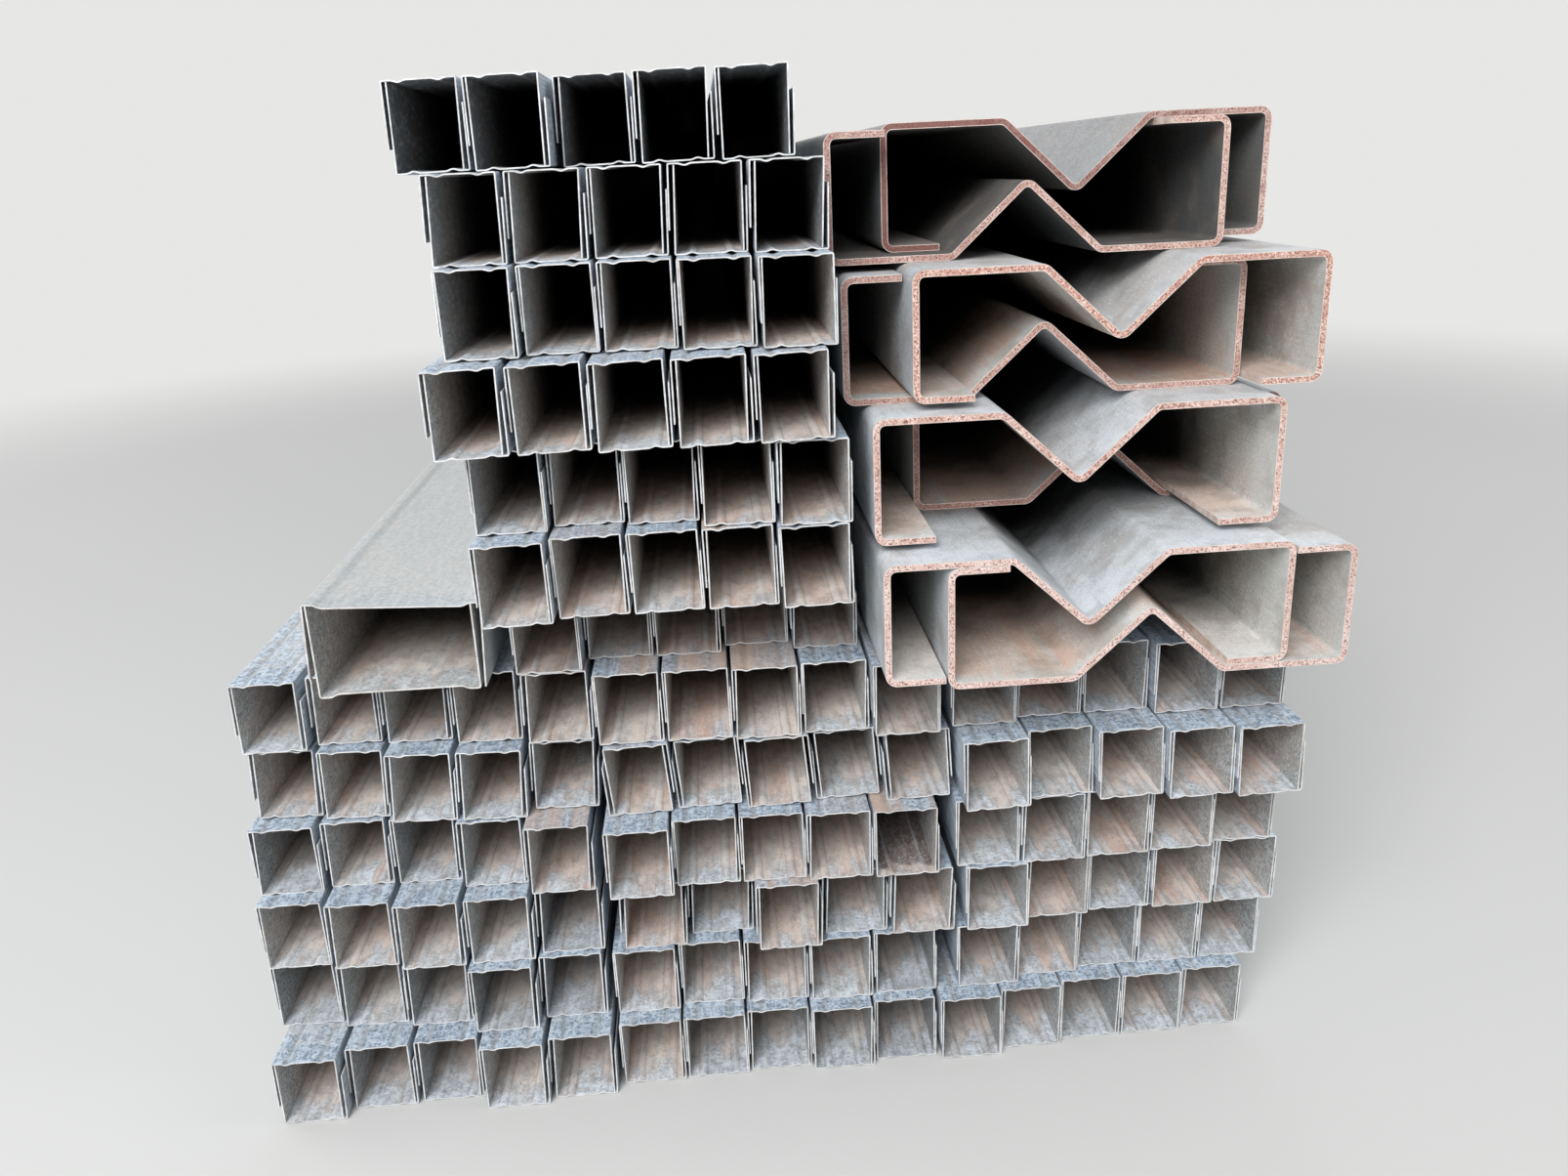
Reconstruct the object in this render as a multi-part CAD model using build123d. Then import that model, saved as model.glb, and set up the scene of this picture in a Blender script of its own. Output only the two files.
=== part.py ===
from build123d import *
from dataclasses import dataclass
import math
import os

# A stack of long galvanised steel sections, stored lying down with their cut ends to the front.
# X runs across the stack, Y along the sections from front to back, Z up.
# All sizes are in millimetres and all angles in degrees.

# Stock length, the same for every section
stock_length = 3000.0

# Clearances between pieces that rest on or slide into each other
seat_gap = 0.3
side_gap = 0.2
lip_gap = 1.5

# Light stud: a thin channel with one long and one short leg and two grooves in its web
stud_sheet = 1.0
stud_web = 51.0
groove_offset = 13.5
groove_width = 8.5
groove_depth = 1.5
lower_long_leg = 58.0
lower_short_leg = 43.0
upper_long_leg = 59.5
upper_short_leg = 44.0

# Wide channels: one pair, closed over each other, with a raised middle in the web
wide_sheet = 1.2
wide_foot = 9.0
wide_ramp = 5.0
wide_rise = 2.5
wide_lower_web = 121.0
wide_high_leg = 74.0
wide_right_leg = 68.0
wide_short_leg = 60.0
wide_slip = 0.8
wide_play = 3.2
wide_gap = 3.0
wide_setback = 62.0

# The upper wide channel slopes from the higher leg of the lower one to the other leg,
# and its web is wide enough for its legs to pass outside both.
wide_slope = math.atan2(wide_high_leg - wide_right_leg, wide_lower_web - wide_sheet)
wide_span = wide_lower_web * math.cos(wide_slope) + wide_high_leg * math.sin(wide_slope)
wide_upper_web = wide_span + 2 * wide_sheet + wide_slip + wide_play

# Heavy section: thick sheet, a deep V folded into the web, flanges and turned-in lips.
# One cradle has low flanges, so its cover stands on the cradle's web alone.
# The flat of the web on each side of the V has room for two lips when a pair is nested.
heavy_sheet = 4.8
heavy_flange = 92.0
heavy_low_flange = 80.0
heavy_lip = 44.0
heavy_vee_width = 108.0
heavy_vee_depth = 50.0
heavy_vee_room = 4.0
heavy_bend_radius = 4.0
heavy_flat = 2 * heavy_lip + lip_gap + heavy_vee_room
heavy_web = 2 * heavy_flat + heavy_vee_width

# Two like studs close over each other into a box. The long legs carry the webs,
# and each short leg lies outside the other stud's long leg.
boxes_in_row = 5
box_width = stud_web + stud_sheet + side_gap

# Left sides of the bundles, the upper block and the heavy sections, across the stack
left_line = -398.0
left_bundle_room = 22.0
middle_line = left_line + boxes_in_row * box_width + left_bundle_room
middle_bundle_room = 8.0
right_line = middle_line + boxes_in_row * box_width + middle_bundle_room
upper_overhang = 7.4
upper_line = middle_line - 2 * box_width + upper_overhang
upper_room = 39.0
heavy_line = upper_line + boxes_in_row * box_width + upper_room


@dataclass
class Row:
    """One layer of a bundle: boxes side by side, each box made of two studs.

    The shift is from the bundle's left side, the gap is between two boxes, and a
    set-back is how far a box's cut end stands behind the foremost end of the stack.
    """

    name: str
    shift: float
    gap: float
    setbacks: tuple
    lean: float = 0.0
    mirrored: bool = False


@dataclass
class Layer:
    """One nested pair of heavy sections: the cradle below, the cover on top of it.

    The shift is that of the leftmost section, and the side is that of the cover.
    """

    name: str
    shift: float
    cover_side: str
    cradle_setback: float
    cover_setback: float
    cradle_flange: float = heavy_flange


# Rows and layers are listed from the bottom up.
left_rows = [
    Row("left_row_1", 6, 3.0, (27, 38, 40, 25, 31)),
    Row("left_row_2", 0, 3.4, (74, 67, 61, 46, 58)),
    Row("left_row_3", 1, 3.8, (70, 63, 55, 56, 63)),
    Row("left_row_4", 0, 3.6, (86, 91, 89, 76, 58)),
    Row("left_row_5", 4, 4.2, (104, 95, 81, 77, 87), lean=-1.6),
    Row("left_row_6", 2.5, 5.0, (100, 108, 103, 94, 84)),
]
middle_rows = [
    Row("middle_row_1", 1, 1.0, (41, 42, 45, 39, 45)),
    Row("middle_row_2", 0, 1.8, (56, 61, 57, 53, 55)),
    Row("middle_row_3", 10, 3.0, (60, 74, 44, 59, 52)),
    Row("middle_row_4", 4, 1.1, (41, 54, 53, 48, 45)),
    Row("middle_row_5", 8, 3.3, (68, 73, 66, 72, 61), lean=1.6, mirrored=True),
    Row("middle_row_6", 4.5, 1.7, (72, 71, 66, 69, 54)),
]
right_rows = [
    Row("right_row_1", 0, 0.6, (39, 46, 52, 52, 55)),
    Row("right_row_2", 17, 0.6, (55, 64, 69, 68, 69)),
    Row("right_row_3", 23, 0.9, (49, 60, 64, 61, 62)),
    Row("right_row_4", 15, 1.2, (52, 50, 52, 54, 61)),
    Row("right_row_5", 19, 1.3, (34, 48, 38, 31, 27), lean=1.6),
    Row("right_row_6", 13, 1.5, (62, 70, 70, 60, 61)),
]
upper_rows = [
    Row("upper_row_1", 42, 2.0, (83, 106, 103, 116, 100)),
    Row("upper_row_2", 33, 2.0, (24, 35, 35, 35, 27), lean=1.0),
    Row("upper_row_3", 32.5, 2.2, (49, 62, 55, 38, 27)),
    Row("upper_row_4", 16.5, 3.4, (22, 27, 21, 21, 21), lean=1.6),
    Row("upper_row_5", 26, 2.4, (53, 62, 60, 48, 35)),
    Row("upper_row_6", 22, 3.0, (74, 78, 83, 77, 63)),
    Row("upper_row_7", 0, 4.1, (102, 91, 126, 106, 104), lean=1.2),
]
heavy_layers = [
    Layer("heavy_layer_1", 19.5, "left", 0, 0),
    Layer("heavy_layer_2", 18.0, "left", 135, 30, cradle_flange=heavy_low_flange),
    Layer("heavy_layer_3", 4.0, "right", 82, 47),
    Layer("heavy_layer_4", -2.0, "right", 114, 149),
]


def left_normal(start, end):
    """Unit vector to the left of the way from one point to the next."""
    run = math.dist(start, end)
    return (start[1] - end[1]) / run, (end[0] - start[0]) / run


def inner_line(line, sheet):
    """The same open line moved to its left by one sheet thickness, with mitred corners."""
    moved = []
    for i, (x, z) in enumerate(line):
        before = left_normal(line[max(i - 1, 0)], line[max(i, 1)])
        after = left_normal(line[min(i, len(line) - 2)], line[min(i + 1, len(line) - 1)])
        mitre = sheet / (1 + before[0] * after[0] + before[1] * after[1])
        moved.append((x + (before[0] + after[0]) * mitre, z + (before[1] + after[1]) * mitre))
    return moved


def turns_left(before, corner, after):
    """True where a line bends to its left at a corner."""
    into = left_normal(before, corner)
    out = (after[0] - corner[0], after[1] - corner[1])
    return into[0] * out[0] + into[1] * out[1] > 0


def bent_sheet(line, sheet, bend_radius=0.0):
    """A section of stock length, folded from sheet along its outer line.

    The bend radius is that of the inside of each fold; without one the folds are sharp.
    """
    inside = inner_line(line, sheet)
    outer_radii = [0.0] * len(line)
    inner_radii = [0.0] * len(line)
    if bend_radius > 0:
        for i in range(1, len(line) - 1):
            left = turns_left(line[i - 1], line[i], line[i + 1])
            outer_radii[i] = bend_radius + (sheet if left else 0.0)
            inner_radii[i] = bend_radius + (0.0 if left else sheet)
    outline = line + inside[::-1]
    wire = FilletPolyline(*outline, radius=outer_radii + inner_radii[::-1], close=True)
    return extrude(Plane.XZ * make_face(wire), amount=-stock_length).solid()


def light_stud(long_leg, short_leg):
    """Light stud with its web down, its long leg at the left and its short leg at the right."""
    line = [(0, long_leg), (0, 0)]
    for middle in (stud_web / 2 - groove_offset, stud_web / 2 + groove_offset):
        line.append((middle - groove_width / 2, 0))
        line.append((middle, groove_depth))
        line.append((middle + groove_width / 2, 0))
    line.append((stud_web, 0))
    line.append((stud_web, short_leg))
    return bent_sheet(line, stud_sheet)


def wide_channel(web, left_leg, right_leg):
    """Wide channel with its web down and the middle of the web raised between two feet."""
    ramp_top = wide_foot + wide_ramp
    line = [(0, left_leg), (0, 0), (wide_foot, 0), (ramp_top, wide_rise)]
    line += [(web - ramp_top, wide_rise), (web - wide_foot, 0), (web, 0), (web, right_leg)]
    return bent_sheet(line, wide_sheet)


def heavy_section(flange):
    """Heavy section with its web down, the V standing up inside it and the lips turned in."""
    middle = heavy_web / 2
    line = [(heavy_lip, flange), (0, flange), (0, 0)]
    line += [(middle - heavy_vee_width / 2, 0), (middle, heavy_vee_depth), (middle + heavy_vee_width / 2, 0)]
    line += [(heavy_web, 0), (heavy_web, flange), (heavy_web - heavy_lip, flange)]
    return bent_sheet(line, heavy_sheet, heavy_bend_radius)


def turned_over(piece, width, height):
    """A section turned half round its length, so that its web is on top."""
    return Pos(width, 0, height) * Rot(0, 180, 0) * piece


def box_height(long_leg):
    """Height of a box of two studs."""
    return long_leg + seat_gap + stud_sheet


def stud_box(long_leg, short_leg, mirrored):
    """The two studs of one box, with the box's lower left edge on the Y axis."""
    stud = light_stud(long_leg, short_leg)
    lower = Pos(stud_sheet + side_gap, 0, 0) * stud
    upper = turned_over(stud, stud_web, box_height(long_leg))
    pieces = [lower, upper]
    if mirrored:
        pieces = [Pos(box_width, stock_length, 0) * Rot(0, 0, 180) * piece for piece in pieces]
    return pieces


def row_height(row, long_leg):
    """Height that a row takes up, with its boxes leaning on one edge."""
    angle = math.radians(abs(row.lean))
    return box_height(long_leg) * math.cos(angle) + box_width * math.sin(angle)


def build_row(row, line, level, long_leg, short_leg):
    """All studs of one row, its bundle's left side at a line and its lowest edges at a level."""
    box = stud_box(long_leg, short_leg, row.mirrored)
    raised_left = box_width * math.sin(math.radians(max(-row.lean, 0.0)))
    solids = []
    for i, setback in enumerate(row.setbacks):
        left = line + row.shift + i * (box_width + row.gap)
        place = Pos(left, setback, level + raised_left) * Rot(0, -row.lean, 0)
        solids += [place * piece for piece in box]
    return solids


def build_rows(rows, line, level, long_leg, short_leg):
    """Rows stacked from a level up; gives their nodes and the level on top of them."""
    built = {}
    for row in rows:
        built[row.name] = build_row(row, line, level, long_leg, short_leg)
        level += row_height(row, long_leg) + seat_gap
    return built, level


def build_wide_pair(level):
    """The two wide channels: one lying on its web, the other laid over its legs."""
    lower = wide_channel(wide_lower_web, wide_high_leg, wide_right_leg)
    upper = wide_channel(wide_upper_web, wide_right_leg, wide_short_leg)
    upper = turned_over(upper, wide_upper_web, 0)
    along = (math.cos(wide_slope), -math.sin(wide_slope))
    square = (math.sin(wide_slope), math.cos(wide_slope))
    lift = square[0] * wide_sheet + square[1] * wide_high_leg + seat_gap + wide_sheet
    shift = along[1] * wide_high_leg - wide_sheet - wide_slip
    x = along[0] * shift + square[0] * lift
    z = along[1] * shift + square[1] * lift
    tilted = Pos(x, 0, z) * Rot(0, math.degrees(wide_slope), 0) * upper
    upper_left = upper_line + min(row.shift for row in upper_rows[:2])
    base = Pos(upper_left - wide_gap - wide_upper_web, wide_setback, level)
    return {"wide_channel_lower": [base * lower], "wide_channel_upper": [base * tilted]}


def build_heavy_layers(layers, level):
    """Nested pairs of heavy sections; each cover rests on its cradle's web."""
    cover = turned_over(heavy_section(heavy_flange), heavy_web, heavy_flange)
    built = {}
    for layer in layers:
        near = heavy_line + layer.shift
        far = near + heavy_lip + lip_gap
        cradle_left, cover_left = (far, near) if layer.cover_side == "left" else (near, far)
        cradle_place = Pos(cradle_left, layer.cradle_setback, level)
        cover_place = Pos(cover_left, layer.cover_setback, level + heavy_sheet + seat_gap)
        built[layer.name + "_cradle"] = [cradle_place * heavy_section(layer.cradle_flange)]
        built[layer.name + "_cover"] = [cover_place * cover]
        level += heavy_flange + heavy_sheet + 2 * seat_gap
    return built


def build_stack():
    """Every node of the stack, as a list of solids for each name."""
    floor = 0.0
    left, left_top = build_rows(left_rows, left_line, floor, lower_long_leg, lower_short_leg)
    middle, middle_top = build_rows(middle_rows, middle_line, floor, lower_long_leg, lower_short_leg)
    right, right_top = build_rows(right_rows, right_line, floor, lower_long_leg, lower_short_leg)
    upper_base = max(left_top, middle_top)
    upper, _ = build_rows(upper_rows, upper_line, upper_base, upper_long_leg, upper_short_leg)
    wide = build_wide_pair(left_top)
    heavy = build_heavy_layers(heavy_layers, max(middle_top, right_top))
    return {**left, **middle, **right, **upper, **wide, **heavy}


# The origin is moved to the middle of the stack's base.
nodes = build_stack()
extent = Compound([piece for pieces in nodes.values() for piece in pieces]).bounding_box()
centre = Pos(-(extent.min.X + extent.max.X) / 2, -(extent.min.Y + extent.max.Y) / 2, -extent.min.Z)
print("shift to the origin", centre.position)

os.makedirs("parts", exist_ok=True)
for name, pieces in nodes.items():
    export_step(Compound([centre * piece for piece in pieces]), "parts/" + name + ".step")
print(len(nodes), "nodes,", sum(len(pieces) for pieces in nodes.values()), "solids")
print("size", extent.size)
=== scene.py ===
import bmesh
import bpy
import math
from mathutils import Matrix, Vector


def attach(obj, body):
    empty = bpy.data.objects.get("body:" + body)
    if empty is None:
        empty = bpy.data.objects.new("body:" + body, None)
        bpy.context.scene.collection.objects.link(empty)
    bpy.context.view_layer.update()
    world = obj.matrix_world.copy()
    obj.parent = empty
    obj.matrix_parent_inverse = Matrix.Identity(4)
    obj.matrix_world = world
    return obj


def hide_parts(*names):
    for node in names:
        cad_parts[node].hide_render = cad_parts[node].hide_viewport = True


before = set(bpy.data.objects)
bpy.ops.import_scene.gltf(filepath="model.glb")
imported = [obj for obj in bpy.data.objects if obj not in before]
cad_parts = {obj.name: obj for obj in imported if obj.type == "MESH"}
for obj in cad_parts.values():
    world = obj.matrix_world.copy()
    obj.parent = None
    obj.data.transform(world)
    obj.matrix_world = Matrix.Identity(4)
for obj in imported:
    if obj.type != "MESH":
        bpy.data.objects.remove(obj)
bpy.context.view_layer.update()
mm = 0.001


# The camera: a wide lens close to the cut ends, a little above the upper block's middle, looking down.
# The picture is 1606 pixels wide, and the lens takes in 1249 pixels' width per unit of depth.
picture_width = 1606
lens_pixels = 1249.0
camera_place = (-27.9 * mm, -2374.9 * mm, 723.1 * mm)
camera_heading = math.radians(-2.896)
camera_pitch = math.radians(90 - 19.125)
camera_roll = math.radians(-2.742)
camera_data = bpy.data.cameras.new("front_camera")
camera_data.sensor_width = 36.0
camera_data.lens = lens_pixels / picture_width * camera_data.sensor_width
camera_data.clip_start = 0.01
camera = bpy.data.objects.new("front_camera", camera_data)
bpy.context.scene.collection.objects.link(camera)
camera_turn = Matrix.Rotation(camera_heading, 4, "Z") @ Matrix.Rotation(camera_pitch, 4, "X")
camera.matrix_world = Matrix.Translation(camera_place) @ camera_turn @ Matrix.Rotation(camera_roll, 4, "Z")
bpy.context.scene.camera = camera


# Light studs. A light stud is folded from 1 mm galvanised sheet: a 51 mm web with two shallow grooves,
# one long leg and one short leg. Two like studs are closed over each other into a box,
# the upper one turned half round, so that each short leg lies outside the other's long leg.
stock_length = 3000 * mm
stud_sheet = 1.0 * mm
stud_web = 51 * mm
stud_bend = 1.3 * mm
groove_offset = 13.5 * mm
groove_width = 8.5 * mm
groove_depth = 1.5 * mm
groove_bend = 1.2 * mm
web_zone = 3 * mm
seat_gap = 0.3 * mm
side_gap = 0.2 * mm
box_width = stud_web + stud_sheet + side_gap
end_rings = [8 * mm, 30 * mm, 70 * mm, 150 * mm, 300 * mm]
splay_shares = (1.0, 0.95, 0.8, 0.5, 0.15)
stud_splays = [(0.0, 0.0), (0.8, 0.5), (1.6, 0.6), (2.2, 1.6), (1.2, 2.4), (2.8, 2.0)]
smooth_angle = math.radians(40)
touching = 1e-5


def choose(piece, kind, test):
    """Selects a piece's vertices, edges or faces whose middle passes a test, in edit mode."""
    bpy.ops.mesh.select_mode(type=kind)
    bpy.ops.mesh.select_all(action="DESELECT")
    mesh = bmesh.from_edit_mesh(piece.data)
    if kind == "VERT":
        for vert in mesh.verts:
            vert.select_set(test(vert.co, vert))
    if kind == "EDGE":
        for edge in mesh.edges:
            edge.select_set(test((edge.verts[0].co + edge.verts[1].co) / 2, edge))
    if kind == "FACE":
        for face in mesh.faces:
            face.select_set(test(face.calc_center_median(), face))
    mesh.select_flush_mode()
    bmesh.update_edit_mesh(piece.data)


def fold_strip(name, line):
    """A strip of stock length in edit mode, folded along a line of x and z places by extruding."""
    (x0, z0), (x1, z1) = line[0], line[1]
    bpy.ops.object.select_all(action="DESELECT")
    middle = ((x0 + x1) / 2, stock_length / 2, (z0 + z1) / 2)
    turn = -math.atan2(z1 - z0, x1 - x0)
    bpy.ops.mesh.primitive_plane_add(size=1, location=middle, rotation=(0, turn, 0))
    piece = bpy.context.object
    piece.name = name
    piece.scale = (math.hypot(x1 - x0, z1 - z0), stock_length, 1)
    bpy.ops.object.transform_apply(location=True, rotation=True, scale=True)
    bpy.ops.object.mode_set(mode="EDIT")
    for (ax, az), (bx, bz) in zip(line[1:], line[2:]):
        end = Vector((ax, stock_length / 2, az))
        choose(piece, "EDGE", lambda place, edge: (place - end).length < touching)
        bpy.ops.mesh.extrude_region_move(TRANSFORM_OT_translate={"value": (bx - ax, 0, bz - az)})
    return piece


def round_folds(piece, corners, reach, segments):
    """Bevels the folds that run along the strip at some corners of its line."""
    def at_corner(place, edge):
        along = abs(edge.verts[0].co.y - edge.verts[1].co.y) > stock_length / 2
        return along and any(math.hypot(place.x - x, place.z - z) < touching for x, z in corners)
    choose(piece, "EDGE", at_corner)
    bpy.ops.mesh.bevel(offset=reach, segments=segments, affect="EDGES")


def cut_rings():
    """Cuts the strip in edit mode across at rings near both ends, to let it bend there, and at its middle.
    """
    rings = [ring for near in end_rings for ring in (near, stock_length - near)]
    for ring in rings + [stock_length / 2]:
        bpy.ops.mesh.select_all(action="SELECT")
        bpy.ops.mesh.bisect(plane_co=(0, ring, 0), plane_no=(0, 1, 0))


def lean_leg(piece, side, bend, degrees):
    """Leans a leg to the right about its fold, most at the cut ends: a left leg in, a right leg out."""
    def on_leg(place):
        return abs(place.x - side) < 0.1 * mm and place.z > bend * 1.01
    for ring, share in zip([0.0] + end_rings[:4], splay_shares):
        for y in (ring, stock_length - ring):
            choose(piece, "VERT", lambda place, vert: on_leg(place) and abs(place.y - y) < touching)
            bpy.ops.transform.rotate(value=-math.radians(degrees * share), orient_axis="Y",
                                     center_override=(side, y, 0))


def mark_points(piece, name, values):
    """Keeps a number on each point of the mesh, which the finishes read."""
    piece.data.attributes.new(name, "FLOAT", "POINT").data.foreach_set("value", values)


def thicken(piece, sheet, finishes):
    """Gives the strip its sheet thickness, and a finish each for its inside, outside and cut edges."""
    bpy.ops.object.mode_set(mode="OBJECT")
    bpy.ops.object.modifier_add(type="SOLIDIFY")
    solid = piece.modifiers[-1]
    solid.thickness = sheet
    solid.offset = 1
    solid.use_even_offset = True
    solid.material_offset = 1
    solid.material_offset_rim = 2
    for finish in finishes:
        piece.data.materials.append(finish)
    bpy.ops.object.modifier_apply(modifier=solid.name)
    bpy.ops.object.shade_smooth_by_angle(angle=smooth_angle)
    mark_points(piece, "reach", [min(vert.co.y, stock_length - vert.co.y) for vert in piece.data.vertices])


def new_material(name):
    """An empty material with its shader, and its node tree."""
    material = bpy.data.materials.new(name)
    material.use_nodes = True
    tree = material.node_tree
    shader = tree.nodes["Principled BSDF"]
    return material, tree, shader


def stretched_place(tree, stretch=(1, 1, 1)):
    """Object coordinates, scaled apart along each axis."""
    place = tree.nodes.new("ShaderNodeTexCoord")
    mapping = tree.nodes.new("ShaderNodeMapping")
    mapping.inputs["Scale"].default_value = stretch
    tree.links.new(place.outputs["Object"], mapping.inputs["Vector"])
    return mapping.outputs["Vector"]


def mottle(tree, place, scale, detail, low, high):
    """A noise that goes from 0 at its low mark to 1 at its high mark."""
    noise = tree.nodes.new("ShaderNodeTexNoise")
    noise.inputs["Scale"].default_value = scale
    noise.inputs["Detail"].default_value = detail
    noise.inputs["Roughness"].default_value = 0.62
    tree.links.new(place, noise.inputs["Vector"])
    marks = tree.nodes.new("ShaderNodeMapRange")
    marks.inputs["From Min"].default_value = low
    marks.inputs["From Max"].default_value = high
    tree.links.new(noise.outputs["Fac"], marks.inputs["Value"])
    return marks.outputs["Result"]


def read_mark(tree, name):
    """A number kept on the mesh, such as the way from the nearest cut end."""
    mark = tree.nodes.new("ShaderNodeAttribute")
    mark.attribute_name = name
    return mark.outputs["Fac"]


def spread(tree, value, low, high, to_low=0.0, to_high=1.0):
    """A number taken smoothly from one range to another."""
    node = tree.nodes.new("ShaderNodeMapRange")
    node.interpolation_type = "SMOOTHSTEP"
    node.inputs["From Min"].default_value = low
    node.inputs["From Max"].default_value = high
    node.inputs["To Min"].default_value = to_low
    node.inputs["To Max"].default_value = to_high
    tree.links.new(value, node.inputs["Value"])
    return node.outputs["Result"]


def combine(tree, operation, a, b):
    """Two numbers, or a number and a socket, put together."""
    node = tree.nodes.new("ShaderNodeMath")
    node.operation = operation
    node.use_clamp = operation == "ADD"
    for socket, value in zip(node.inputs, (a, b)):
        if isinstance(value, (int, float)):
            socket.default_value = value
        else:
            tree.links.new(value, socket)
    return node.outputs["Value"]


def times(tree, first, *factors):
    """Numbers and sockets multiplied together."""
    product = first
    for factor in factors:
        product = combine(tree, "MULTIPLY", product, factor)
    return product


def blend(tree, share, first, second):
    """One colour laid over another by a share."""
    node = tree.nodes.new("ShaderNodeMix")
    node.data_type = "RGBA"
    tree.links.new(share, node.inputs["Factor"])
    for socket, colour in ((node.inputs["A"], first), (node.inputs["B"], second)):
        if isinstance(colour, tuple):
            socket.default_value = (*colour, 1)
        else:
            tree.links.new(colour, socket)
    return node.outputs["Result"]


def bump(tree, shader, height, distance, strength):
    """Fine relief on the shader."""
    node = tree.nodes.new("ShaderNodeBump")
    node.inputs["Distance"].default_value = distance
    node.inputs["Strength"].default_value = strength
    tree.links.new(height, node.inputs["Height"])
    tree.links.new(node.outputs["Normal"], shader.inputs["Normal"])


def facing_up(tree, low, high):
    """How far the surface faces up, from 0 at a wall to 1 on a floor."""
    geometry = tree.nodes.new("ShaderNodeNewGeometry")
    split = tree.nodes.new("ShaderNodeSeparateXYZ")
    tree.links.new(geometry.outputs["Normal"], split.inputs["Vector"])
    return spread(tree, split.outputs["Z"], low, high)


def weathered_zinc(name, cool, pale, dark, dusty):
    """Outside of the sheet: blue-grey zinc in small scales, pale scratches, dust on what faces up."""
    dull_wall = (0.476, 0.493, 0.493)
    top_soil = (0.625, 0.585, 0.532)
    groove_dirt = (0.343, 0.331, 0.305)
    thin_rust = (0.595, 0.405, 0.292)
    material, tree, shader = new_material(name)
    plain = stretched_place(tree)
    along = stretched_place(tree, (1, 0.05, 1))
    upward = facing_up(tree, 0.5, 0.95)
    scales = mottle(tree, plain, 420, 6, 0.38, 0.60)
    cloud = mottle(tree, plain, 75, 5, 0.42, 0.62)
    scratch = mottle(tree, along, 420, 4, 0.50, 0.62)
    patch = mottle(tree, plain, 210, 7, 0.44, 0.60)

    # Scaly zinc, duller on the walls, and dust in patches on what faces up.
    colour = blend(tree, scales, cool, pale)
    colour = blend(tree, spread(tree, upward, 0, 1, 0.45, 0), colour, dull_wall)
    colour = blend(tree, times(tree, cloud, 0.35), colour, dark)
    colour = blend(tree, times(tree, scratch, 0.55), colour, dusty)
    colour = blend(tree, times(tree, upward, patch, 0.75), colour, dusty)

    # Soil behind the cut end, dirt along the grooves, and rust on the boxes that have the most film.
    reach = combine(tree, "ADD", read_mark(tree, "reach"), times(tree, patch, 0.015))
    soil = times(tree, upward, spread(tree, reach, 0.016, 0.045, 0, 0.40),
                 spread(tree, cloud, 0, 1, 0.35, 1.0))
    colour = blend(tree, soil, colour, top_soil)
    groove = times(tree, spread(tree, read_mark(tree, "groove"), 0.35, 0.8), upward)
    colour = blend(tree, times(tree, groove, 0.45), colour, groove_dirt)
    rusty = times(tree, mottle(tree, along, 34, 5, 0.40, 0.56), upward)
    rusty = times(tree, rusty, spread(tree, read_mark(tree, "film"), 0.70, 1.0))
    colour = blend(tree, times(tree, rusty, 0.75), colour, thin_rust)

    tree.links.new(colour, shader.inputs["Base Color"])
    shader.inputs["Metallic"].default_value = 0.15
    tree.links.new(spread(tree, scales, 0, 1, 0.58, 0.74), shader.inputs["Roughness"])
    shader.inputs["Specular IOR Level"].default_value = 0.25
    bump(tree, shader, scales, 0.0002, 0.3)
    return material


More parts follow.
